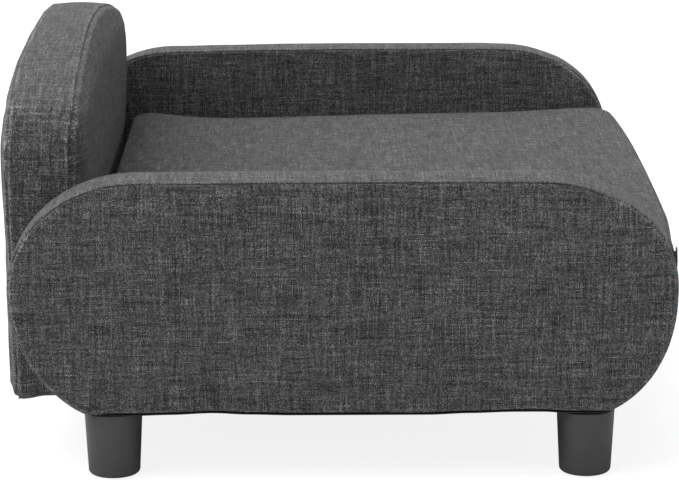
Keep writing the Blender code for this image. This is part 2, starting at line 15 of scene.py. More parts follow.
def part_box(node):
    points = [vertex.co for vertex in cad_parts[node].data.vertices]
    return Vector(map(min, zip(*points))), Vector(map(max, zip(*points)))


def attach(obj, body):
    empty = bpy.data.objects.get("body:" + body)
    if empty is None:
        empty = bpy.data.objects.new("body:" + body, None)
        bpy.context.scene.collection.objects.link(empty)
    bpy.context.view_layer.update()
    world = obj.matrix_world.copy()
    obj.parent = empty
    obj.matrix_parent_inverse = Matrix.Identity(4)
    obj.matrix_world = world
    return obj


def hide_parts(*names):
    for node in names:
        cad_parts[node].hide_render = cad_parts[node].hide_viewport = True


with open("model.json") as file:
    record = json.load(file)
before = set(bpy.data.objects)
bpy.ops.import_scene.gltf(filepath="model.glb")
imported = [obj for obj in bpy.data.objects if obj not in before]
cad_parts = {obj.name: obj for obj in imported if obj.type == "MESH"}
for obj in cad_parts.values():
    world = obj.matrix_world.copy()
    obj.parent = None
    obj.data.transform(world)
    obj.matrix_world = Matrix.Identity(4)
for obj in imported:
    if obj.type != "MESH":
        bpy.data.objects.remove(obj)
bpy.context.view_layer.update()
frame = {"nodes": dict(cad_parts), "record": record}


def add_object(name, data):
    obj = bpy.data.objects.new(name, data)
    bpy.context.scene.collection.objects.link(obj)
    return obj


# ---- camera ----
CAMERA_PLACE = Vector((-3.1187, 0.0162, 0.8648))
CAMERA_PITCH = radians(13.054)
CAMERA_ROLL = radians(0.178)
CAMERA_YAW = radians(-0.2554)
CAMERA_LENS = 158.5


def make_camera():
    """The photograph's view: from the left, a little above, with a long lens."""
    forward = Vector((cos(CAMERA_PITCH) * cos(CAMERA_YAW), cos(CAMERA_PITCH) * sin(CAMERA_YAW), -sin(CAMERA_PITCH)))
    right = Vector((sin(CAMERA_YAW), -cos(CAMERA_YAW), 0))
    up = right.cross(forward)
    rolled_right = right * cos(CAMERA_ROLL) - up * sin(CAMERA_ROLL)
    rolled_up = up * cos(CAMERA_ROLL) + right * sin(CAMERA_ROLL)
    pose = Matrix((rolled_right, rolled_up, -forward)).transposed().to_4x4()
    pose.translation = CAMERA_PLACE
    camera = add_object("camera", bpy.data.cameras.new("camera"))
    camera.matrix_world = pose
    camera.data.sensor_width = 36
    camera.data.lens = CAMERA_LENS
    bpy.context.scene.camera = camera


make_camera()


# ---- material graphs ----
class Graph:
    """A short way to write a node material: every call adds one node and returns its first output."""

    def __init__(self, name):
        self.material = bpy.data.materials.new(name)
        self.material.use_nodes = True
        self.tree = self.material.node_tree
        self.shader = self.tree.nodes["Principled BSDF"]

    def plug(self, socket, value):
        if isinstance(value, bpy.types.NodeSocket):
            self.tree.links.new(value, socket)
        elif isinstance(value, tuple) and socket.type == "RGBA" and len(value) == 3:
            socket.default_value = (*value, 1.0)
        else:
            socket.default_value = value

    def node(self, kind, sockets, **settings):
        made = self.tree.nodes.new(kind)
        for key, value in settings.items():
            setattr(made, key, value)
        for key, value in sockets.items():
            self.plug(made.inputs[key], value)
        return made

    def math(self, operation, a, b=0.0, c=0.0):
        return self.node("ShaderNodeMath", {0: a, 1: b, 2: c}, operation=operation).outputs[0]

    def times(self, a, b):
        return self.math("MULTIPLY", a, b)

    def plus(self, a, b):
        return self.math("ADD", a, b)

    def vector(self, operation, a, b):
        return self.node("ShaderNodeVectorMath", {0: a, 1: b}, operation=operation).outputs[0]

    def scaled(self, vector, value):
        """A vector times a number, which makes a colour lighter or darker."""
        return self.node("ShaderNodeVectorMath", {0: vector, "Scale": value}, operation="SCALE").outputs[0]

    def combine(self, x, y, z=0.0):
        return self.node("ShaderNodeCombineXYZ", {0: x, 1: y, 2: z}).outputs[0]

    def place(self):
        """The point on the object, in metres."""
        return self.node("ShaderNodeTexCoord", {}).outputs["Object"]

    def noise(self, vector, scale=1.0, detail=0.0, roughness=0.5):
        sockets = {"Vector": vector, "Scale": scale, "Detail": detail, "Roughness": roughness}
        return self.node("ShaderNodeTexNoise", sockets).outputs["Fac"]

    def ramp(self, value, low, high, to_low=0.0, to_high=1.0, smooth=True):
        sockets = {0: value, 1: low, 2: high, 3: to_low, 4: to_high}
        kind = "SMOOTHSTEP" if smooth else "LINEAR"
        return self.node("ShaderNodeMapRange", sockets, interpolation_type=kind).outputs[0]

    def line(self, value, low, high, to_low, to_high):
        return self.ramp(value, low, high, to_low, to_high, smooth=False)

    def mix(self, share, a, b):
        made = self.node("ShaderNodeMix", {0: share}, data_type="RGBA", clamp_factor=True)
        self.plug(made.inputs[6], a)
        self.plug(made.inputs[7], b)
        return made.outputs[2]

    def bump(self, height, strength, distance):
        sockets = {"Height": height, "Strength": strength, "Distance": distance}
        return self.node("ShaderNodeBump", sockets).outputs[0]

    def finish(self, **sockets):
        for key, value in sockets.items():
            self.plug(self.shader.inputs[key.replace("_", " ")], value)
        return self.material


THREAD = 0.00112                        # from one thread to the next
STRAY = 0.004                           # how far threads stray from straight lines
SLIT_PAINTED_SHADE, FOLD_PAINTED_HIGHLIGHT = 0.22, 1.9      # painted shade in a stitch line and painted highlight on the folds beside it
UV_NAME = "weave"
# A point attribute that paints shade into the stitch lines (up to 1) and highlights onto the folds beside them (down to
# -1).
SEAM_PAINTED_LIGHT = "seam_painted_shade_and_highlight"


def linen(name, colour, thread=THREAD, contrast=1.0, streaks=(0.0, 30.0, 30.0)):
    """Plain-woven linen-look polyester. The UV map is in metres: U runs along the weft and V along the warp.

    streaks is the strength, and the number in a metre of U and of V, of the broad uneven streaks in the dye.
    """
    g = Graph(name)
    uv = g.node("ShaderNodeUVMap", {}, uv_map=UV_NAME).outputs[0]
    stray = g.node("ShaderNodeTexNoise", {"Vector": uv, "Scale": 9.0, "Detail": 1.0}).outputs["Color"]
    uv = g.vector("ADD", uv, g.scaled(g.vector("SUBTRACT", stray, (0.5, 0.5, 0.5)), STRAY))
    split = g.node("ShaderNodeSeparateXYZ", {0: uv}).outputs
    u, v = g.math("DIVIDE", split[0], thread), g.math("DIVIDE", split[1], thread)
    column, row = g.math("FLOOR", u), g.math("FLOOR", v)
    across, along = g.math("SUBTRACT", u, column), g.math("SUBTRACT", v, row)
    weft_on_top = g.math("FLOORED_MODULO", g.plus(column, row), 2.0)
    warp_on_top = g.math("SUBTRACT", 1.0, weft_on_top)

    def drift(number, number_step, place, per_thread, seed):
        """Slow changes along one thread, which differ from one thread to the next."""
        return g.noise(g.combine(g.times(number, number_step), g.times(place, per_thread), seed))

    def yarn(number, place, seed):
        """The lightness of a thread along its length: uneven spinning, and now and then a thick slub."""
        long_drift = drift(number, 7.31, place, 0.030, seed)
        short_drift = drift(number, 5.17, place, 0.11, seed + 9)
        light_slub = g.ramp(long_drift, 0.70, 0.80)
        dark_slub = g.ramp(long_drift, 0.34, 0.22)
        tone = 1.0
        for part, weight in ((g.math("SUBTRACT", long_drift, 0.5), 2.6), (g.math("SUBTRACT", short_drift, 0.5), 1.7),
                             (light_slub, 0.40), (dark_slub, -0.25)):
            tone = g.math("MULTIPLY_ADD", part, weight * contrast, tone)
        return g.math("MAXIMUM", tone, 0.15), light_slub

    def on_top(warp_value, weft_value):
        """The value of whichever thread lies on top here."""
        return g.plus(g.times(weft_value, weft_on_top), g.times(warp_value, warp_on_top))

    warp, warp_slub = yarn(column, v, 3.0)
    weft, weft_slub = yarn(row, u, 31.0)
    crowns = [g.math("SINE", g.times(value, pi)) for value in (across, along)]
    height = g.math("POWER", g.times(*crowns), 0.6)
    speck = g.node("ShaderNodeTexWhiteNoise", {"Vector": g.combine(column, row)}, noise_dimensions="3D").outputs[0]
    bands = g.plus(drift(u, 0.025, v, 0.30, 61.0), drift(u, 0.30, v, 0.025, 77.0))
    cloudy = g.noise(uv, scale=14.0, detail=2.0)
    strength, along_u, along_v = streaks
    streaky = g.noise(g.combine(g.times(split[0], along_u), g.times(split[1], along_v), 5.0), detail=3.0, roughness=0.7)
    seam = g.node("ShaderNodeAttribute", {}, attribute_name=SEAM_PAINTED_LIGHT).outputs["Fac"]
    tone = on_top(warp, weft)
    for part in (g.line(speck, 0.0, 1.0, 1 - 0.72 * contrast, 1 + 0.72 * contrast),
                 # painted shade in the gaps between the threads, against their lighter crowns
                 g.ramp(height, 0.0, 0.7, 0.55, 1.12),
                 g.line(bands, 0.6, 1.4, 0.74, 1.26),
                 g.line(cloudy, 0.25, 0.75, 0.93, 1.07),
                 g.line(streaky, 0.2, 0.8, 1 - strength, 1 + strength),
                 # painted shade along the stitch line and painted highlight on the folds beside it, from the seam
                 # attribute
                 g.line(seam, 0.0, 1.0, 1.0, SLIT_PAINTED_SHADE),
                 g.line(seam, -1.0, 0.0, FOLD_PAINTED_HIGHLIGHT, 1.0)):
        tone = g.times(tone, part)
    return g.finish(
        Base_Color=g.scaled(colour, tone),
        Roughness=g.ramp(height, 0.0, 1.0, 0.98, 0.80),
        Specular_IOR_Level=0.25,
        Sheen_Weight=0.05,
        Sheen_Roughness=0.55,
        Normal=g.bump(g.math("MULTIPLY_ADD", on_top(warp_slub, weft_slub), 0.5, height), 0.55, 0.0003),
    )


def hard_surface(name, colour, grain, cloud, tones, roughness, bump, metallic=0.0):
    """Plastic or metal: fine grain, and cloudy tone and gloss. grain and cloud are noise scales."""
    g = Graph(name)
    place = g.place()
    cloudy = g.noise(place, scale=cloud, detail=2.0)
    return g.finish(
        Base_Color=g.scaled(colour, g.ramp(cloudy, 0.3, 0.7, *tones)),
        Metallic=metallic,
        Roughness=g.ramp(cloudy, *roughness),
        Normal=g.bump(g.noise(place, scale=grain, detail=2.0), *bump),
    )


def fleece(name, colour, fibre=900.0, roughness=0.95):
    """Felt and non-woven cloth: fibres pressed together in every direction."""
    g = Graph(name)
    place = g.place()
    fibres = g.noise(place, scale=fibre, detail=3.0)
    cloud = g.noise(place, scale=fibre / 12, detail=2.0)
    tone = g.times(g.ramp(fibres, 0.3, 0.7, 0.7, 1.3), g.ramp(cloud, 0.3, 0.7, 0.85, 1.15))
    return g.finish(Base_Color=g.scaled(colour, tone), Roughness=roughness, Normal=g.bump(fibres, 0.5, 0.0004))


def wood(name, light, dark, ring_scale, direction):
    """Pine or plywood: growth rings stretched along the grain, with finer fibres over them."""
    g = Graph(name)
    place = g.place()
    place = g.node("ShaderNodeMapping", {"Vector": place, "Scale": direction}).outputs[0]
    bend = g.noise(place, scale=6.0, detail=2.0)
    rings = g.noise(g.vector("ADD", place, bend), scale=ring_scale, detail=3.0)
    fibres = g.noise(place, scale=ring_scale * 9, detail=2.0)
    share = g.math("MULTIPLY_ADD", fibres, 0.25, g.ramp(rings, 0.35, 0.65, 0.0, 0.8))
    return g.finish(
        Base_Color=g.mix(share, light, dark),
        Roughness=g.ramp(fibres, 0.3, 0.7, 0.55, 0.75),
        Normal=g.bump(fibres, 0.25, 0.0004),
    )


def foam(name, colour):
    g = Graph(name)
    place = g.place()
    cells = g.node("ShaderNodeTexVoronoi", {"Vector": place, "Scale": 900.0}).outputs["Distance"]
    cloud = g.noise(place, scale=30.0, detail=2.0)
    tone = g.times(g.ramp(cells, 0.0, 0.6, 0.75, 1.05), g.ramp(cloud, 0.3, 0.7, 0.95, 1.05))
    return g.finish(Base_Color=g.scaled(colour, tone), Roughness=0.9, Normal=g.bump(cells, 0.6, 0.0005))


LINEN_COLOUR = (0.0488, 0.0506, 0.0497)
# The cushion is the same linen; its colour is painted 17% darker as shade for the seat, which lies low between the arms
# and the back.
CUSHION_SHADED_COLOUR = tuple(0.83 * c for c in LINEN_COLOUR)
MATERIALS = {
    "upholstery_fabric": linen("linen", LINEN_COLOUR),
    "back_fabric": linen("back_linen", LINEN_COLOUR, streaks=(0.40, 70.0, 70.0)),
    "cushion_fabric": linen("cushion_linen_painted_shade", CUSHION_SHADED_COLOUR, streaks=(0.95, 230.0, 80.0)),
    "foam": foam("foam", (0.80, 0.76, 0.58)),
    "plywood": wood("plywood", (0.66, 0.49, 0.30), (0.48, 0.32, 0.17), 40.0, (1.0, 0.08, 1.0)),
    "pine": wood("pine", (0.76, 0.58, 0.36), (0.55, 0.36, 0.18), 26.0, (0.10, 1.0, 1.0)),
    "black_cloth": fleece("nonwoven_cloth", (0.020, 0.020, 0.021)),
    "dark_plastic": hard_surface("moulded_plastic", (0.024, 0.024, 0.0243), 2600.0, 60.0, (0.92, 1.08),
                                 (0.2, 0.8, 0.42, 0.52), (0.12, 0.0002)),
    "felt": fleece("felt", (0.050, 0.050, 0.050), fibre=1500.0, roughness=1.0),
    "zinc_steel": hard_surface("zinc_steel", (0.62, 0.62, 0.60), 1800.0, 240.0, (0.85, 1.1),
                               (0.3, 0.7, 0.28, 0.46), (0.1, 0.0001), metallic=1.0),
    "label": linen("label_satin", (0.012, 0.012, 0.013), thread=0.00035, contrast=0.4),
    "zip_tape": linen("zip_tape", (0.045, 0.047, 0.047), thread=0.0006, contrast=0.5),
}


def set_slot(obj, slot, material=None):
    """Gives a new piece the material of its slot in the record, or the given material if that isn't the slot's usual
    one.
    """
    obj.data.materials.clear()
    obj.data.materials.append(MATERIALS[material or slot])


for subpart in frame["record"]["subparts"]:
    node = frame["nodes"][subpart["node"]]
    node.data.materials.clear()
    node.data.materials.append(MATERIALS[subpart["material_slot"]])


# ---- mesh helpers ----
def new_mesh(name, points, faces, uvs=None, smooth=True):
    """A mesh object whose faces all look outwards. uvs holds one (u, v) for every corner of every face."""
    mesh = bpy.data.meshes.new(name)
    mesh.from_pydata([tuple(p) for p in points], [], [tuple(f) for f in faces])
    if uvs is not None:
        layer = mesh.uv_layers.new(name=UV_NAME)
        layer.data.foreach_set("uv", np.asarray(uvs, np.float32).ravel())
    bm = bmesh.new()
    bm.from_mesh(mesh)
    bmesh.ops.recalc_face_normals(bm, faces=bm.faces)
    bm.to_mesh(mesh)
    bm.free()
    if smooth:
        mesh.shade_smooth()
    return add_object(name, mesh)


def coordinates(obj):
    flat = np.zeros(len(obj.data.vertices) * 3)
    obj.data.vertices.foreach_get("co", flat)
    return flat.reshape(-1, 3)


def set_coordinates(obj, points):
    obj.data.vertices.foreach_set("co", np.asarray(points).ravel())
    obj.data.update()


def arc(centre, reach, rise, start, end, steps=60):
    angles = np.linspace(start, end, steps + 1)
    return np.stack([centre[0] + reach * np.cos(angles), centre[1] + rise * np.sin(angles)], 1)


def eased(at, places, amounts):
    """The amounts at the places, eased from each place to the next, read at any other place."""
    places, amounts = np.array(places), np.array(amounts)
    i = np.clip(np.searchsorted(places, at) - 1, 0, len(places) - 2)
    t = share(at - places[i], places[i + 1] - places[i])
    return amounts[i] + (amounts[i + 1] - amounts[i]) * t * t * (3 - 2 * t)


def share(distance, reach):
    """How far along a reach a distance is, from 0 to 1."""
    return np.clip(distance / reach, 0, 1)


def lengths_along(points):
    return np.concatenate([[0.0], np.cumsum(np.linalg.norm(np.diff(points, axis=0), axis=1))])


def evenly(points, count):
    """count + 1 points at equal distances along an open line."""
    s = lengths_along(points)
    at = np.linspace(0, s[-1], count + 1)
    return np.stack([np.interp(at, s, points[:, i]) for i in range(points.shape[1])], 1)


OUTLINE_STEP = 0.001


def soften(points, reach):
    """A closed outline with its sharp corners rounded over about reach."""
    closed = np.vstack([points, points[:1]])
    count = int(lengths_along(closed)[-1] / OUTLINE_STEP)
    fine = evenly(closed, count)[:-1]
    width = max(int(reach / OUTLINE_STEP), 1)
    kernel = np.hanning(2 * width + 3)[1:-1]
    kernel /= kernel.sum()
    padded = np.vstack([fine[-width:], fine, fine[:width]])
    return np.stack([np.convolve(padded[:, i], kernel, mode="valid") for i in range(2)], 1)


def quad_ring(outline, corners, counts):
    """Points evenly spaced round a closed outline in four runs, whose ends become a quad grid's corners."""
    total = len(outline)
    marks = [int(np.argmin(np.linalg.norm(outline - np.array(corner), axis=1))) for corner in corners]
    runs = []
    for k in range(4):
        span = (marks[(k + 1) % 4] - marks[k]) % total
        run = outline[(marks[k] + np.arange(span + 1)) % total]
        runs.append(evenly(run, counts[k % 2])[:-1])
    return np.vstack(runs)


def quad_grid(ring, across, up):
    """A Coons patch: a grid of points that fills a ring of 2 * (across + up) points."""
    bottom = ring[: across + 1]
    right = ring[across : across + up + 1]
    top = ring[across + up : 2 * across + up + 1][::-1]
    left = np.vstack([ring[2 * across + up :], ring[:1]])[::-1]
    u = np.linspace(0, 1, across + 1)[None, :, None]
    v = np.linspace(0, 1, up + 1)[:, None, None]
    ruled = (1 - v) * bottom[None] + v * top[None] + (1 - u) * left[:, None] + u * right[:, None]
    corners = (1 - u) * (1 - v) * bottom[0] + u * (1 - v) * bottom[-1] + (1 - u) * v * top[0] + u * v * top[-1]
    return ruled - corners


def grid_numbers(first_ring, first_inner, across, up):
    """Vertex numbers of a quad grid whose border is a ring that starts at first_ring."""
    around = 2 * (across + up)
    numbers = np.zeros((up + 1, across + 1), int)
    numbers[0] = first_ring + np.arange(across + 1)
    numbers[:, -1] = first_ring + across + np.arange(up + 1)
    numbers[-1, ::-1] = first_ring + across + up + np.arange(across + 1)
    numbers[::-1, 0] = first_ring + (2 * across + up + np.arange(up + 1)) % around
    numbers[1:-1, 1:-1] = first_inner + np.arange((across - 1) * (up - 1)).reshape(up - 1, across - 1)
    return numbers


# ---- stuffed pieces ----
PANEL_RINGS = (0.0008, 0.0022, 0.0045, 0.0095, 0.0170)      # distances of the panel's outer rings from its seam
BAND_RINGS = (0.0008, 0.0022, 0.0045, 0.0095)


class Pad:
    """A stuffed piece sewn from two like panels with a band between them, drawn as one closed quad mesh.

    The outline lies in the panels' plane as (a, b), counter-clockwise, and c runs through the thickness.
    order says which of a, b, c are x, y and z. Each panel is (c of its seam, edge rise, crown) and its
    surface stands edge rise plus crown outside its seam. band gives how far the band stands outside its seams,
    as a function of the outline's normal. uv_shift holds the shifts of the near panel's, the band's and the far
    panel's UVs, which keep their weaves apart. bend(points) may move any of the points. edge and soft are how far
    from a seam the edge rise and the crown grow.
    """

    def __init__(self, name, outline, corners, counts, order, near, far, band, rows, uv_shift, bend, edge,
                 soft=0.045):
        self.order = order
        across, up = counts
        ring = quad_ring(outline, corners, counts)
        self.around = len(ring)
        tangent = np.roll(ring, -1, 0) - np.roll(ring, 1, 0)
        tangent /= np.linalg.norm(tangent, axis=1)[:, None]
        self.normal = np.stack([tangent[:, 1], -tangent[:, 0]], 1)
        stand = np.array([band(n) for n in self.normal])
        self.arc = np.concatenate([[0.0], np.cumsum(np.linalg.norm(np.roll(ring, -1, 0) - ring, axis=1))])

        def rise(panel, distance):
            return panel[1] * (1 - np.exp(-distance / edge)) + panel[2] * (1 - np.exp(-distance / soft))

        def at_inset(inset, c):
            return np.column_stack([ring - self.normal * inset[:, None], np.full(len(ring), c)])

        rings = []
        near_c, far_c = near[0], far[0]
        for distance in PANEL_RINGS[::-1]:
            rings.append(at_inset(stand + distance, near_c - rise(near, distance)))
        self.near_seam = len(rings)
        width = far_c - near_c
        inner = np.linspace(BAND_RINGS[-1], width - BAND_RINGS[-1], rows + 1)[1:-1]
        depths = [0.0, *BAND_RINGS, *inner, *(width - d for d in BAND_RINGS[::-1]), width]
        for depth in depths:
            from_seam = min(depth, width - depth)
            rings.append(at_inset(stand * np.exp(-from_seam / edge), near_c + depth))
        self.far_seam = len(rings) - 1
        for distance in PANEL_RINGS:
            rings.append(at_inset(stand + distance, far_c + rise(far, distance)))
        self.rings = len(rings)

        points = [np.vstack(rings)]
        grids = []
        first_inner = self.rings * self.around
        seam_line = (ring - self.normal * stand[:, None])[:, None]
        for panel, c_sign, border in ((near, -1, rings[0]), (far, 1, rings[-1])):
            grid = quad_grid(border[:, :2], across, up)[1:-1, 1:-1].reshape(-1, 2)
            distance = np.min(np.linalg.norm(seam_line - grid[None], axis=2), axis=0)
            points.append(np.column_stack([grid, panel[0] + c_sign * rise(panel, distance)]))
            first_ring = 0 if c_sign < 0 else (self.rings - 1) * self.around
            grids.append(grid_numbers(first_ring, first_inner, across, up))
            first_inner += len(grid)
        points = np.vstack(points)
        flat = points.copy()
        points = bend(points)

        faces, uvs = [], []
        k = np.arange(self.around)
        k_next = (k + 1) % self.around
        for r in range(self.rings - 1):
            quads = np.stack([r * self.around + k, r * self.around + k_next, (r + 1) * self.around + k_next,
                              (r + 1) * self.around + k], 1)
            faces.append(quads)
            if self.near_seam <= r < self.far_seam:
                v0, v1 = depths[r - self.near_seam], depths[r - self.near_seam + 1]
                u0, u1 = self.arc[:-1], self.arc[1:]
                quad_uv = np.stack(np.broadcast_arrays(np.stack([u0, u1, u1, u0], 1), (v0, v0, v1, v1)), 2)
                uvs.append(quad_uv.reshape(-1, 2) + np.array(uv_shift[1]))
            else:
                uvs.append(flat[quads.ravel(), :2] + np.array(uv_shift[0 if r < self.near_seam else 2]))
        for grid, shift in zip(grids, (uv_shift[0], uv_shift[2])):
            quads = np.stack([grid[:-1, :-1], grid[:-1, 1:], grid[1:, 1:], grid[1:, :-1]], 2).reshape(-1, 4)
            faces.append(quads)
            uvs.append(flat[quads.ravel(), :2] + np.array(shift))
        self.object = new_mesh(name, points[:, order], np.vstack(faces), np.vstack(uvs))

    def mark_seams(self, shade_at):
        """The stitch lines stay sharp when the mesh is subdivided. shade_at(normal) gives the painted shade or
        highlight on the stitch line, close beside it and on the folds beside it: 1 is painted shade in a dark slit and
        -1 a painted highlight on a fold."""
        mesh = self.object.data
        seam_of = np.full(len(mesh.vertices), -1)
        shade = np.zeros(len(mesh.vertices), np.float32)
        for r in (self.near_seam, self.far_seam):
            seam_of[self.ring_numbers(r)] = r
            for beside, amounts in enumerate(zip(*(shade_at(n) for n in self.normal))):
                for towards in (-beside, beside):
                    shade[self.ring_numbers(r + towards)] = amounts
        mesh.attributes.new(SEAM_PAINTED_LIGHT, "FLOAT", "POINT").data.foreach_set("value", shade)
        ends = np.zeros(len(mesh.edges) * 2, np.int64)
        mesh.edges.foreach_get("vertices", ends)
        first, second = seam_of[ends[0::2]], seam_of[ends[1::2]]
        crease = ((first >= 0) & (first == second)).astype(np.float32) * 0.8
        mesh.attributes.new("crease_edge", "FLOAT", "EDGE").data.foreach_set("value", crease)

    def ring_numbers(self, r):
        return r * self.around + np.arange(self.around)

    def held(self, fixed):
        """The points that don't swell: those beside the seams, and where fixed(points) says so."""
        seams = [self.ring_numbers(r + i) for r in (self.near_seam, self.far_seam) for i in (-1, 0, 1)]
        numbers = np.union1d(np.concatenate(seams), np.nonzero(fixed(coordinates(self.object)))[0])
        return [int(n) for n in numbers]

    def sew(self, groove, ridge, seed, pucker=0.35):
        """Pulls the seam in and raises the folded allowance beside it, unevenly as thread does.
        groove and ridge are functions of the outline's normal."""
        points = coordinates(self.object)
        groove_at = np.array([groove(n) for n in self.normal])
        ridge_at = np.array([ridge(n) for n in self.normal])
        uneven = np.array([noise.noise(Vector((s * 75, seed, 0.3))) for s in self.arc[:-1]])
        fine = np.array([noise.noise(Vector((s * 260, seed, 5.3))) for s in self.arc[:-1]])
        uneven = 1 + pucker * (uneven + 0.5 * fine)
        outwards = np.column_stack([self.normal, np.zeros(self.around)])
        for seam, towards in ((self.near_seam, -1), (self.far_seam, 1)):
            facing = np.tile([0, 0, towards], (self.around, 1))
            corner = (outwards + facing) / sqrt(2)
            moves = [(seam, corner, -groove_at)]
            for step, part in ((towards, 0.15), (2 * towards, 1.0), (3 * towards, 0.5)):
                moves += [(seam + step, facing, ridge_at * part), (seam - step, outwards, ridge_at * part)]
            for r, direction, amount in moves:
                shift = direction * (amount * uneven)[:, None]
                points[self.ring_numbers(r)] += shift[:, self.order]
        set_coordinates(self.object, points)


def inflate(obj, held, cap, pressure=4.0, stiffness=25.0, bending=1.5, frames=20):
    """Cloth under air pressure, sewn down at the held points. No point moves further than cap."""
    start = coordinates(obj)
    group = obj.vertex_groups.new(name="sewn")
    group.add(held, 1.0, "REPLACE")
    cloth = obj.modifiers.new("cloth", "CLOTH")
    settings = cloth.settings
    settings.quality = 5
    settings.mass = 0.3
    settings.tension_stiffness = settings.compression_stiffness = stiffness
    settings.shear_stiffness = stiffness / 4
    settings.bending_stiffness = bending
    settings.air_damping = 2.0
    settings.use_pressure = True
    settings.uniform_pressure_force = pressure
    settings.vertex_group_mass = group.name
    settings.effector_weights.gravity = 0.0
    cloth.point_cache.frame_start = 1
    cloth.point_cache.frame_end = frames
    for step in range(1, frames + 1):
        bpy.context.scene.frame_set(step)
    travel = coordinates(obj.evaluated_get(bpy.context.evaluated_depsgraph_get())) - start
    obj.modifiers.remove(cloth)
    obj.vertex_groups.remove(group)
    bpy.context.scene.frame_set(1)
    distance = np.linalg.norm(travel, axis=1)[:, None]
    set_coordinates(obj, start + travel * (cap * np.tanh(distance / cap) / np.maximum(distance, 1e-9)))


def subdivide(obj):
    smooth = obj.modifiers.new("smooth", "SUBSURF")
    smooth.levels = smooth.render_levels = 1


# ---- arms ----
ARM_END_REACH = 0.1225
ARM_WIDEST = 0.186                      # height of the tips of an arm's rounded ends
ARM_UPPER = 0.105                       # from the tips up to the top
ARM_LOWER_FRONT = (0.1338, 2.25)        # how far the end's curve would reach down, and how square it is
ARM_LOWER_REAR = (0.1338, 2.0)
ARM_FRONT_SHY = 0.0022                  # the front end is this much short of its box
ARM_BAND_STAND = 0.0025
ARM_TOP_TURN = radians(50)              # where the outline's upper corners lie on the ends' curves

# heights that the hem and the top gain at places along y
HEM_PLACES = (-0.27, -0.21, -0.19, -0.16, -0.12, -0.08, 0.05, 0.09, 0.125, 0.165, 0.20)
HEM_RISE = (0.0008, 0.0012, 0.0028, 0.0028, 0.0016, 0.0, 0.0, 0.0010, 0.0027, 0.0010, 0.0)
HEM_FOLDS = ((0.238, 0.020, 0.0040), (-0.252, 0.014, 0.0022))      # place, reach and depth, over a foot's edge
HEM_FADE, FOLD_FADE = 0.014, 0.004      # how far up they can be seen
TOP_PLACES = (-0.30, -0.27, -0.24, -0.20, -0.16, 0.0, 0.06, 0.13, 0.19, 0.24)
TOP_RISE = (0.0042, 0.0018, 0.0, 0.0003, 0.0014, 0.0016, 0.0013, 0.0002, -0.0010, -0.0010)


def arm_outline(low, high):
    """The arm from its side as (y, z), counter-clockwise: a long pill with a flat underside."""
    middle, half = (low.y + high.y) / 2, (high.y - low.y) / 2
    centre = half - ARM_END_REACH
    drop = ARM_WIDEST - low.z
    points = []
    for side, (lower, power), shy in ((1, ARM_LOWER_REAR, 0), (-1, ARM_LOWER_FRONT, ARM_FRONT_SHY)):
        down = np.linspace(drop / lower, 0, 80)
        below = np.column_stack([ARM_END_REACH * (1 - down**power) ** (1 / power), -down * lower])
        above = arc((0, 0), ARM_END_REACH, ARM_UPPER, 0, pi / 2)[1:]
        end = np.vstack([below, above])
        end = np.column_stack([middle + side * (centre - shy + end[:, 0]), ARM_WIDEST + end[:, 1]])
        points.append(end if side > 0 else end[::-1])
    return np.vstack(points)


def make_arm(side, sign):
    low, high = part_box(f"arm_{side}_cover")
    raw = arm_outline(low, high)
    outline = soften(raw, 0.005)
    centre = (high.y - low.y) / 2 - ARM_END_REACH
    shoulder = (centre + ARM_END_REACH * cos(ARM_TOP_TURN), ARM_WIDEST + ARM_UPPER * sin(ARM_TOP_TURN))
    corners = (raw[-1], raw[0], shoulder, (-shoulder[0], shoulder[1]))
    outer_c, inner_c = (high.x, low.x) if sign > 0 else (low.x, high.x)
    outer = (outer_c - sign * 0.0030, 0.0022, 0.0008)
    inner = (inner_c + sign * 0.0024, 0.0018, 0.0)
    near, far = (outer, inner) if sign < 0 else (inner, outer)
    shift = 0.731 if sign > 0 else 0.0

    def bend(points):
        """The stapled hem wavers and folds over the feet, and the top is a low, uneven arch."""
        y, z = points[:, 0].copy(), points[:, 1].copy()
        outer_share = share(points[:, 2] - inner_c, outer_c - inner_c)
        above_hem = np.maximum(z - low.z, 0)
        hem = np.exp(-above_hem / HEM_FADE)
        waver = np.array([noise.noise(Vector((v * 30, 2.0 + sign, 0.7))) for v in y])
        points[:, 1] += hem * (eased(y, HEM_PLACES, HEM_RISE) + 0.0004 * waver)
        for place, reach, depth in HEM_FOLDS:
            fold = np.clip(1 - np.abs(y - place) / reach, 0, 1) ** 0.8
            points[:, 1] -= depth * fold * np.exp(-above_hem / FOLD_FADE) * (outer_share > 0.93)
        upper = share(z - 0.17, 0.10)
        if sign > 0:
            points[:, 1] += upper * (eased(y, TOP_PLACES, TOP_RISE) + 0.0022 * (1 - outer_share))
        else:
            points[:, 1] += upper * 0.3 * eased(y, TOP_PLACES, TOP_RISE)
            points[:, 1] -= upper * 0.0028 * outer_share * np.exp(-(((y + 0.240) / 0.040) ** 2))
        return points

    pad = Pad(f"arm_{side}", outline, corners, (84, 42), (2, 0, 1), near, far, lambda n: ARM_BAND_STAND,
              8, ((0.05 + shift, 0.02), (1.3 + shift, 0.63), (2.2 + shift, 0.31)), edge=0.004, bend=bend)
    underside = low.z + 0.004
    inflate(pad.object, pad.held(lambda co: co[:, 2] < underside), cap=0.0022)
    pad.sew(groove=lambda n: 0.0012, ridge=lambda n: 0.0003 + 0.0007 * n[0] ** 2, seed=sign * 3.0)

    def shade_at(n):
        """Painted shade in the slit along the top, and painted highlights on the folds round the ends and below."""
        turns_light = 0.86 if n[0] < 0 else 0.60
        top = min(max((n[1] - turns_light) / 0.08, 0.0), 1.0)
        return top - 0.6 * (1 - top), 0.12 * top - 1.0 * (1 - top), -0.10

    pad.mark_seams(shade_at)
    subdivide(pad.object)
    set_slot(pad.object, "upholstery_fabric")
    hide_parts(f"arm_{side}_cover", f"arm_{side}_foam")
    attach(pad.object, "root")


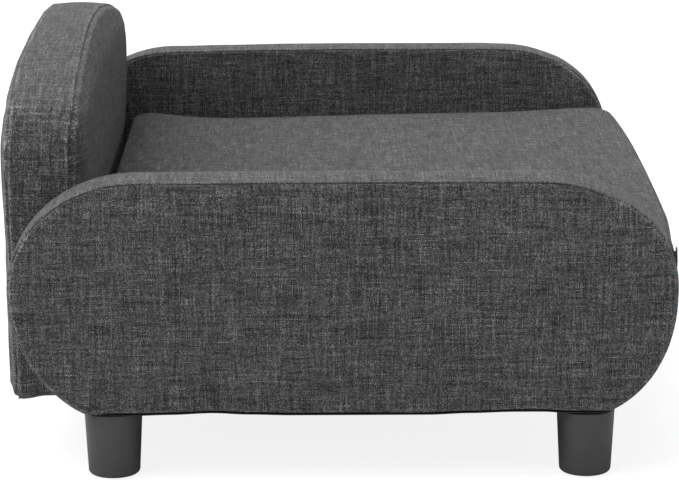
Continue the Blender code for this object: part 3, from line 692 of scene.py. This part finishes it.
for side, sign in (("left", -1), ("right", 1)):
    make_arm(side, sign)


# ---- back ----
BACK_ARCH_RADIUS = 1.42
BACK_SHOULDER, BACK_FOOT = 0.050, 0.010             # radii of its upper and lower corners
BACK_SEAM_FRONT, BACK_SEAM_REAR = 0.2622, 0.3172
BACK_LEAN, LEAN_FROM = 0.42, 0.20                   # the sides lean in, ever more above this height

# how far the rear face hangs backwards at its heights, and the crest at distances from the middle
REAR_HEIGHTS = (0.065, 0.09, 0.13, 0.156, 0.20, 0.25, 0.277, 0.304, 0.33, 0.385)
REAR_SAG = (-0.0012, -0.0018, -0.0002, 0.0, 0.0012, 0.0028, 0.0030, 0.0028, 0.0014, 0.0004)
CREST_PLACES = (0.02, 0.10, 0.20, 0.25, 0.29)
CREST_SAG = (-0.0008, 0.0006, 0.0022, 0.0018, 0.0)


def back_outline(half, top, bottom):
    """The back from the front as (x, z), counter-clockwise: upright sides, round shoulders and a low arch."""
    arch_z = top - BACK_ARCH_RADIUS
    shoulder_x = half - BACK_SHOULDER
    shoulder_z = arch_z + sqrt((BACK_ARCH_RADIUS - BACK_SHOULDER) ** 2 - shoulder_x**2)
    meet = atan2(shoulder_z - arch_z, shoulder_x)
    foot = arc((half - BACK_FOOT, bottom + BACK_FOOT), BACK_FOOT, BACK_FOOT, -pi / 2, 0)
    right = np.vstack([foot, arc((shoulder_x, shoulder_z), BACK_SHOULDER, BACK_SHOULDER, 0, meet)])
    over = arc((0, arch_z), BACK_ARCH_RADIUS, BACK_ARCH_RADIUS, meet, pi - meet, 200)[1:-1]
    return np.vstack([right, over, right[::-1] * (-1, 1)])


def back_corner_drop(x, y, z, bottom):
    """How much lower the cloth of the back hangs near its two rear corners."""
    outwards = share(np.abs(x) - 0.24, 0.08)
    rearwards = eased(y, (0.288, 0.314), (0.0, 1.0))
    return 0.0044 * outwards * rearwards * np.exp(-np.maximum(z - bottom, 0) / 0.03)


def make_back():
    low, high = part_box("back_cover")
    bottom, half, middle_y = low.z, high.x, (low.y + high.y) / 2
    outline = soften(back_outline(half, high.z + 0.0006, bottom), 0.003)
    diagonal = BACK_SHOULDER * (1 - sqrt(0.5))
    shoulder_z = high.z - half**2 / (2 * BACK_ARCH_RADIUS)
    corners = ((-half, bottom), (half, bottom), (half - diagonal, shoulder_z - diagonal),
               (-half + diagonal, shoulder_z - diagonal))
    front = (BACK_SEAM_FRONT, BACK_SEAM_FRONT - low.y, 0.0012)
    rear = (BACK_SEAM_REAR, high.y - BACK_SEAM_REAR, 0.0036)

    def bend(points):
        """The front face stands fuller above the cushion, the sides lean in, and the rear face sags backwards."""
        x, z, y = (points[:, i].copy() for i in range(3))
        front_share = share(middle_y - y, 0.02)
        rear_share = share(y - middle_y, 0.02)
        above = share(z - 0.205, 0.05)
        below_top = share(high.z - z, 0.04)
        inside = share(half - np.abs(x), 0.016)
        points[:, 2] -= 0.0049 * front_share * (above * below_top * inside) ** 0.6
        points[:, 2] += rear_share * eased(z, REAR_HEIGHTS, REAR_SAG)
        crest = share(z - 0.325, 0.02) * eased(np.abs(x), CREST_PLACES, CREST_SAG)
        points[:, 2] += rear_share * crest
        points[:, 0] -= BACK_LEAN * np.maximum(z - LEAN_FROM, 0) ** 2 * x / half
        points[:, 1] -= back_corner_drop(x, y, z, bottom)
        return points

    pad = Pad("back", outline, corners, (84, 40), (0, 2, 1), front, rear, lambda n: 0.0030, 8,
              ((0.40, 0.12), (0.2, 1.1), (1.1, 2.2)), edge=0.0055, soft=0.06, bend=bend)
    inflate(pad.object, pad.held(lambda co: co[:, 2] < bottom + 0.004), cap=0.0022)
    pad.sew(groove=lambda n: 0.0010, ridge=lambda n: 0.0012, seed=11.0)
    # a little painted shade in the back's stitch lines and painted highlights on the folds beside them
    pad.mark_seams(lambda n: (0.10, -0.15, -0.85))
    subdivide(pad.object)
    set_slot(pad.object, "upholstery_fabric", "back_fabric")
    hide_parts("back_cover", "back_foam")
    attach(pad.object, "root")


make_back()


# ---- cushion ----
CUSHION_CORNER = 0.034
CUSHION_FRONT_STAND = 0.0030
CUSHION_SEAM_BELOW = 0.006          # the top's seam lies this far below the top


def cushion_outline(low, high):
    """The cushion from above as (x, y), counter-clockwise, its sides pulled in a little between its corners."""
    r = CUSHION_CORNER
    centres = ((high.x - r, low.y + r, -pi / 2), (high.x - r, high.y - r, 0), (low.x + r, high.y - r, pi / 2),
               (low.x + r, low.y + r, pi))
    points = [arc((x, y), r, r, start, start + pi / 2, 20) for x, y, start in centres]
    closed = np.vstack(points + [points[0][:1]])
    fine = evenly(closed, 1200)[:-1]
    middle_y, half_y = (low.y + high.y) / 2, (high.y - low.y) / 2
    pull = 0.0012 * np.clip(1 - ((fine[:, 1] - middle_y) / half_y) ** 2, 0, 1)
    fine[:, 0] -= np.sign(fine[:, 0]) * pull * (np.abs(fine[:, 0]) > high.x - r)
    bow = 0.0048 * np.clip(1 - (fine[:, 0] / high.x) ** 2, 0, 1)
    bow -= 0.0042 * share(fine[:, 0] - 0.13, 0.20) ** 2
    fine[:, 1] -= bow * (fine[:, 1] < low.y + r)
    return fine


def make_cushion():
    low, high = (corner.copy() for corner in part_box("cushion_cover"))
    low.y -= CUSHION_FRONT_STAND
    outline = cushion_outline(low, high)
    r = CUSHION_CORNER * (1 - sqrt(0.5))
    corners = ((low.x + r, low.y + r), (high.x - r, low.y + r), (high.x - r, high.y - r), (low.x + r, high.y - r))

    zip_low, zip_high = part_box("zip_chain")
    zip_z, zip_face = (zip_low.z + zip_high.z) / 2, zip_low.y - 0.0007

    def stand(n):
        front = max(-n[1], 0.0) ** 2
        return 0.0014 + 0.0045 * front

    def bend(points):
        """The top's gentle waves, the label's pull on the front, and a flat strip behind the zip."""
        x, y, z = points[:, 0], points[:, 1], points[:, 2]
        along = np.array([low.y, low.y + 0.02, -0.20, -0.04, 0.13, 0.20, high.y])
        lift = np.array([0.0122, 0.0120, 0.0078, 0.0056, 0.0006, 0.0040, 0.0105])
        fine_y = np.linspace(low.y, high.y, 200)
        wave = np.interp(fine_y, along, lift)
        kernel = np.hanning(41)
        kernel /= kernel.sum()
        wave = np.convolve(np.pad(wave, 20, mode="edge"), kernel, mode="valid")
        side = 0.55 + 0.45 * np.clip(x / high.x, -1, 1)
        upper = share(z - low.z, high.z - low.z) ** 2
        points[:, 2] += np.interp(y, fine_y, wave) * side * upper
        by_label = share(-x - 0.20, 0.08) * share(0.224 - z, 0.012) * (y < -0.29)
        points[:, 1] += 0.0045 * by_label
        flat_for_zip = np.clip(1.6 - np.abs(z - zip_z) / 0.011, 0, 1) * (np.abs(x) < 0.305)
        points[:, 1] -= flat_for_zip * np.maximum(y - zip_face, 0)
        return points

    top = (high.z - CUSHION_SEAM_BELOW, CUSHION_SEAM_BELOW - 0.001, 0.0010)
    under = (low.z + 0.0025, 0.0022, 0.0)
    pad = Pad("cushion", outline, corners, (84, 70), (0, 1, 2), under, top, stand, 10,
              ((0.3, 1.7), (2.9, 1.9), (0.12, 0.44)), edge=0.006, soft=0.05, bend=bend)

    def sewn(co):
        beside_zip = (co[:, 1] > zip_face - 0.004) & (np.abs(co[:, 2] - zip_z) < 0.012)
        return (co[:, 2] < low.z + 0.002) | beside_zip

    inflate(pad.object, pad.held(sewn), cap=0.0030, bending=2.5)
    pad.sew(groove=lambda n: 0.0011, ridge=lambda n: 0.0006, seed=21.0)
    # painted shade in the cushion's stitch lines and a slight painted highlight on the folds beside them
    pad.mark_seams(lambda n: (0.5, 0.1, -0.2))
    subdivide(pad.object)
    set_slot(pad.object, "upholstery_fabric", "cushion_fabric")
    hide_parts("cushion_cover", "cushion_core")
    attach(pad.object, "cushion")
    return pad.object


CUSHION = make_cushion()


# ---- swept and turned pieces ----
def sweep(name, section, low_x, high_x, steps, smooth=True):
    """A closed section in (y, z), swept along x. U runs along x and V round the section."""
    count = len(section)
    xs = np.linspace(low_x, high_x, steps + 1)
    points = np.vstack([np.column_stack([np.full(count, x), section]) for x in xs])
    round_it = lengths_along(np.vstack([section, section[:1]]))
    faces, uvs = [], []
    for i in range(steps):
        for j in range(count):
            k = (j + 1) % count
            faces.append((i * count + j, (i + 1) * count + j, (i + 1) * count + k, i * count + k))
            u0, u1, v0, v1 = xs[i], xs[i + 1], round_it[j], round_it[j + 1]
            uvs += [(u0, v0), (u1, v0), (u1, v1), (u0, v1)]
    for start in (0, steps * count):
        faces.append([start + j for j in range(count)])
        uvs += [tuple(p) for p in section]
    return new_mesh(name, points, faces, uvs, smooth)


def tube_faces(rings, sides):
    """The quads between rings of points that follow each other."""
    return [(i * sides + j, i * sides + (j + 1) % sides, (i + 1) * sides + (j + 1) % sides, (i + 1) * sides + j)
            for i in range(rings - 1) for j in range(sides)]


def turned(name, profile, place, sides=64):
    """A profile of (radius, height) points, spun about the vertical through place. Its ends are on the axis."""
    rows = profile[1:-1]
    angles = np.linspace(0, 2 * pi, sides, endpoint=False)
    points = [(place[0] + r * cos(a), place[1] + r * sin(a), place[2] + z) for r, z in rows for a in angles]
    points += [(place[0], place[1], place[2] + profile[0][1]), (place[0], place[1], place[2] + profile[-1][1])]
    faces = tube_faces(len(rows), sides)
    first, last = len(rows) * sides, (len(rows) - 1) * sides
    for j in range(sides):
        k = (j + 1) % sides
        faces.append((first, j, k))
        faces.append((first + 1, last + k, last + j))
    obj = new_mesh(name, points, faces)
    obj.data.set_sharp_from_angle(angle=radians(40))
    return obj


# ---- feet ----
def make_foot(place):
    low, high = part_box(f"leg_{place}")
    middle = ((low.x + high.x) / 2, (low.y + high.y) / 2, 0.0)
    top_radius, foot_radius, fillet = (high.x - low.x) / 2, 0.0248, 0.0042
    bore, recess, recess_top = 0.0043, 0.0158, 0.0033
    rounding = arc((foot_radius - fillet, low.z + fillet), fillet, fillet, 0, -pi / 2, 8)
    profile = [(0, 0.0397), (bore, 0.0397), (bore, high.z), (top_radius - 0.0012, high.z),
               (top_radius - 0.0003, high.z - 0.0003), (top_radius, high.z - 0.0012),
               *[tuple(p) for p in rounding], (recess, low.z), (recess, recess_top), (0, recess_top)]
    foot = turned(f"foot_{place}", profile, middle)
    set_slot(foot, "dark_plastic")
    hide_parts(f"leg_{place}")
    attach(foot, "root")


for end in ("front", "rear"):
    for side in ("left", "right"):
        make_foot(f"{end}_{side}")


# ---- seat base ----
SEAT_FRONT_DROP = 0.139         # how far down the curve under the seat's front would reach


def arm_front_curve(inset, low_z, high_z, front_y, steps=28):
    """The arms' lower front curve, inset behind it, between two heights, from the bottom up."""
    centre = front_y + ARM_END_REACH
    drop = SEAT_FRONT_DROP - inset
    start, end = (pi + asin((ARM_WIDEST - z) / drop) for z in (low_z, high_z))
    return arc((centre, ARM_WIDEST), ARM_END_REACH - inset, drop, start, end, steps)


def make_seat_base():
    cover_low, cover_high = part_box("base_cover")
    rail_low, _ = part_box("base_front_rail")
    deck_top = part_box("deck_board")[1].z
    arm_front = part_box("arm_left_cover")[0].y
    hem_y = -0.215
    curve = arm_front_curve(0.004, cover_low.z, cover_high.z, arm_front)
    under = rail_low.z - 0.0003
    front_of_rail = rail_low.y - 0.0003
    deck = [(y, cover_high.z) for y in np.linspace(-0.25, cover_high.y, 40)]
    outer = np.vstack([[(hem_y, cover_low.z)], curve, deck])
    inner = np.array([(cover_high.y, deck_top + 0.0003), (front_of_rail, deck_top + 0.0003), (front_of_rail, under),
                      (hem_y, under)])
    base = sweep("seat_base", np.vstack([outer, inner]), cover_low.x, cover_high.x, 84)
    base.data.set_sharp_from_angle(angle=radians(50))
    set_slot(base, "upholstery_fabric")
    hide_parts("base_cover", "base_front_pad")
    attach(base, "root")


make_seat_base()


# ---- sheets under the bed ----
SHEET_THICKNESS = 0.0004
STAPLE_INSET = 0.006
STAPLE_WIRE = 0.0003
# a crown 9 mm long, with its two legs turned up into the wood
STAPLE_PATH = ((-0.0045, 0.0, 0.0009), (-0.0045, 0.0, 0.0001), (-0.0042, 0.0, 0.0), (0.0042, 0.0, 0.0),
               (0.0045, 0.0, 0.0001), (0.0045, 0.0, 0.0009))


def wire(path, radius, sides=6):
    """Points and faces of a round wire along a path that stays in the plane of x and z."""
    points, path = [], [Vector(p) for p in path]
    for i, place in enumerate(path):
        ahead = (path[min(i + 1, len(path) - 1)] - path[max(i - 1, 0)]).normalized()
        side = Vector((0, 1, 0))
        up = ahead.cross(side)
        for k in range(sides):
            angle = 2 * pi * k / sides
            points.append(place + side * radius * cos(angle) + up * radius * sin(angle))
    ends = [[first + k for k in range(sides)] for first in (0, (len(path) - 1) * sides)]
    return points, tube_faces(len(path), sides) + ends


def make_staples(name, places):
    """Staples at (x, y, z, turn) under a sheet."""
    base_points, base_faces = wire(STAPLE_PATH, STAPLE_WIRE)
    points, faces = [], []
    for x, y, z, turn in places:
        spin = Matrix.Rotation(turn, 4, "Z")
        faces += [[len(points) + i for i in face] for face in base_faces]
        points += [spin @ p + Vector((x, y, z)) for p in base_points]
    staples = new_mesh(name, points, faces)
    set_slot(staples, "zinc_steel")
    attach(staples, "root")


def make_sheet(node, cells, sag, staple_step, bare=()):
    """A thin non-woven cloth, stapled up round its edge, at (cells) along x and y. sag(x, y, u, v) is how far it
    hangs below its edge. bare holds the (y, reach) of places without staples."""
    low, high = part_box(node)
    along, up = cells
    xs, ys = np.linspace(low.x, high.x, along + 1), np.linspace(low.y, high.y, up + 1)
    gx, gy = (grid.ravel() for grid in np.meshgrid(xs, ys))
    u, v = (gx - low.x) / (high.x - low.x), (gy - low.y) / (high.y - low.y)
    ripple = np.array([noise.noise(Vector((x * 40, y * 40, 3.1))) for x, y in zip(gx, gy)])
    inside = np.clip(16 * u * (1 - u), 0, 1) * np.clip(16 * v * (1 - v), 0, 1)
    top = high.z - 0.0002 - sag(gx, gy, u, v) - 0.00012 * (1 + ripple) * inside
    points = np.vstack([np.column_stack([gx, gy, top]), np.column_stack([gx, gy, top - SHEET_THICKNESS])])
    wide, layer = along + 1, (along + 1) * (up + 1)
    faces = []
    for j in range(up):
        for i in range(along):
            a = j * wide + i
            quad = (a, a + 1, a + wide + 1, a + wide)
            faces += [quad, tuple(n + layer for n in quad)]
    edge = [(first + i, first + i + 1) for first in (0, up * wide) for i in range(along)]
    edge += [(first + j * wide, first + (j + 1) * wide) for first in (0, along) for j in range(up)]
    faces += [(a, b, b + layer, a + layer) for a, b in edge]
    cloth = new_mesh(f"{node}_sheet", points, faces)
    set_slot(cloth, "black_cloth")
    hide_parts(node)
    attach(cloth, "root")

    places = []
    for x in np.arange(low.x + 0.03, high.x - 0.02, staple_step):
        places += [(x, low.y + STAPLE_INSET, 0.0), (x, high.y - STAPLE_INSET, 0.0)]
    for y in np.arange(low.y + 0.03, high.y - 0.02, staple_step):
        places += [(low.x + STAPLE_INSET, y, pi / 2), (high.x - STAPLE_INSET, y, pi / 2)]
    x, y, turn = np.array([p for p in places if all(abs(p[1] - y) > reach for y, reach in bare)]).T
    depth = sag(x, y, (x - low.x) / (high.x - low.x), (y - low.y) / (high.y - low.y))
    make_staples(f"{node}_staples", zip(x, y, low.z + 0.0001 - depth, turn))


def hem_sag(x, y, u, v):
    """The cloth under an arm follows the arm's uneven hem."""
    return -0.9 * eased(y, HEM_PLACES, HEM_RISE)


def back_sag(x, y, u, v):
    """The cloth under the back follows the back's lower edge."""
    return back_corner_drop(x, y, 0.0, 0.0)


def dust_cover_sag(x, y, u, v):
    """The dust cover hangs a little on both sides of the centre rail."""
    return 0.0016 * np.sin(2 * pi * u) ** 2 * np.sin(pi * v)


def beside_foot(end):
    """The middle of a foot and half the length along y that it keeps free of staples."""
    low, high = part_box(f"leg_{end}_left")
    return (low.y + high.y) / 2, 0.034


feet = [beside_foot(end) for end in ("front", "rear")]
for side in ("left", "right"):
    make_sheet(f"arm_{side}_underside_cloth", (10, 90), hem_sag, 0.045, feet)
make_sheet("back_underside_cloth", (120, 12), back_sag, 0.060)
make_sheet("dust_cover", (120, 90), dust_cover_sag, 0.060)


# ---- label ----
def make_label():
    """A blank satin label, folded into a loop and sewn on by its top edge, round the cushion's front corner."""
    low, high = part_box("cushion_label")
    points = coordinates(CUSHION)
    in_front = points[(points[:, 1] < low.y + 0.06) & (points[:, 2] > low.z) & (points[:, 2] < high.z)]
    half, loop = 0.00035, 0.0009
    down = np.linspace(high.z, low.z + loop, 12)
    out = -0.0006 - 0.0005 * np.sin(pi * (high.z - down) / (high.z - low.z)) ** 2
    outer = np.column_stack([out - loop, down])
    turn = arc((-0.0006 - loop / 2, low.z + loop), loop / 2 + half, loop, 0, -pi, 12)[::-1]
    inner = np.column_stack([out + half, down])[::-1]
    section = np.vstack([outer, turn[1:-1], inner])
    label = sweep("label", section, low.x, high.x, 28)
    shape = coordinates(label)
    places = np.linspace(low.x, high.x, 15)
    faces = [in_front[np.abs(in_front[:, 0] - x) < 0.005, 1].min() for x in places]
    shape[:, 1] += np.interp(shape[:, 0], places, faces)
    set_coordinates(label, shape)
    label.data.set_sharp_from_angle(angle=radians(60))
    set_slot(label, "label")
    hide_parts("cushion_label")
    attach(label, "cushion")


make_label()


# ---- zip ----
def make_zip():
    """The zip's woven tape and its two rows of moulded teeth, across the cushion's rear face."""
    low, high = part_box("zip_chain")
    middle = (low.z + high.z) / 2
    rear = low.y
    tape_half, thick = 0.0095, 0.0005
    tape_rear = rear - 0.0002
    heights = np.linspace(-tape_half, tape_half, 13)
    lip = 0.0003 * np.cos(pi * heights / tape_half)
    front = np.column_stack([np.full_like(heights, rear - thick - 0.0002), middle + heights])
    back = np.column_stack([tape_rear + np.minimum(lip, 0.0), middle + heights])[::-1]
    tape = sweep("zip_tape", np.vstack([front, back]), low.x - 0.004, high.x + 0.004, 120)
    set_slot(tape, "zip_tape")
    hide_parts("zip_chain")
    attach(tape, "cushion")

    pitch, tooth, reach = 0.0016, 0.0011, 0.0019
    points, faces = [], []
    count = int((high.x - low.x) / pitch)
    for i in range(count):
        for row in (-1, 1):
            x = low.x + (i + (0.25 if row > 0 else 0.75)) * pitch
            section = ((-tooth / 2, tape_rear), (tooth / 2, tape_rear), (tooth * 0.36, high.y),
                       (-tooth * 0.36, high.y))
            first = len(points)
            for z in (middle - row * 0.0003, middle + row * reach):
                points += [(x + dx, y, z) for dx, y in section]
            faces += [(first, first + 1, first + 2, first + 3), (first + 4, first + 5, first + 6, first + 7)]
            faces += [(first + k, first + (k + 1) % 4, first + 4 + (k + 1) % 4, first + 4 + k) for k in range(4)]
    teeth = new_mesh("zip_teeth", points, faces, smooth=False)
    set_slot(teeth, "dark_plastic")
    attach(teeth, "cushion")


make_zip()


# ---- stage and light ----
FLOOR_HALF = 14
FLOOR_GREY, FLOOR_GREY_SEEN, FLOOR_GLOW_SEEN = 0.55, 0.16, 0.86
SKY_STRENGTH = 0.78
SUN_STRENGTH, SUN_ANGLE, SUN_FROM = 4.9, radians(80), (0.03, 0.55, 1.0)


def make_floor():
    """A floor that is white to the camera but throws back less light on the bed's underside."""
    corners = [(x * FLOOR_HALF, y * FLOOR_HALF, 0) for x, y in ((-1, -1), (1, -1), (1, 1), (-1, 1))]
    floor = new_mesh("floor", corners, [(0, 1, 2, 3)])
    g = Graph("floor_paint")
    seen = g.node("ShaderNodeLightPath", {}).outputs["Is Camera Ray"]
    floor.data.materials.append(g.finish(
        Base_Color=g.mix(seen, (FLOOR_GREY,) * 3, (FLOOR_GREY_SEEN,) * 3), Roughness=1.0, Specular_IOR_Level=0.0,
        Emission_Color=(1.0, 1.0, 1.0), Emission_Strength=g.times(seen, FLOOR_GLOW_SEEN)))


def make_light():
    """A white sky, and a soft sun high over the bed's rear."""
    world = bpy.data.worlds.new("studio")
    world.use_nodes = True
    sky = world.node_tree.nodes["Background"].inputs
    sky["Color"].default_value = (1.0, 1.0, 1.0, 1.0)
    sky["Strength"].default_value = SKY_STRENGTH
    bpy.context.scene.world = world
    softbox = bpy.data.lights.new("softbox", "SUN")
    softbox.energy = SUN_STRENGTH
    softbox.angle = SUN_ANGLE
    lamp = add_object("softbox", softbox)
    lamp.rotation_mode = "QUATERNION"
    lamp.rotation_quaternion = Vector(SUN_FROM).to_track_quat("Z", "Y")


make_floor()
make_light()
bpy.context.scene.view_settings.view_transform = "Standard"
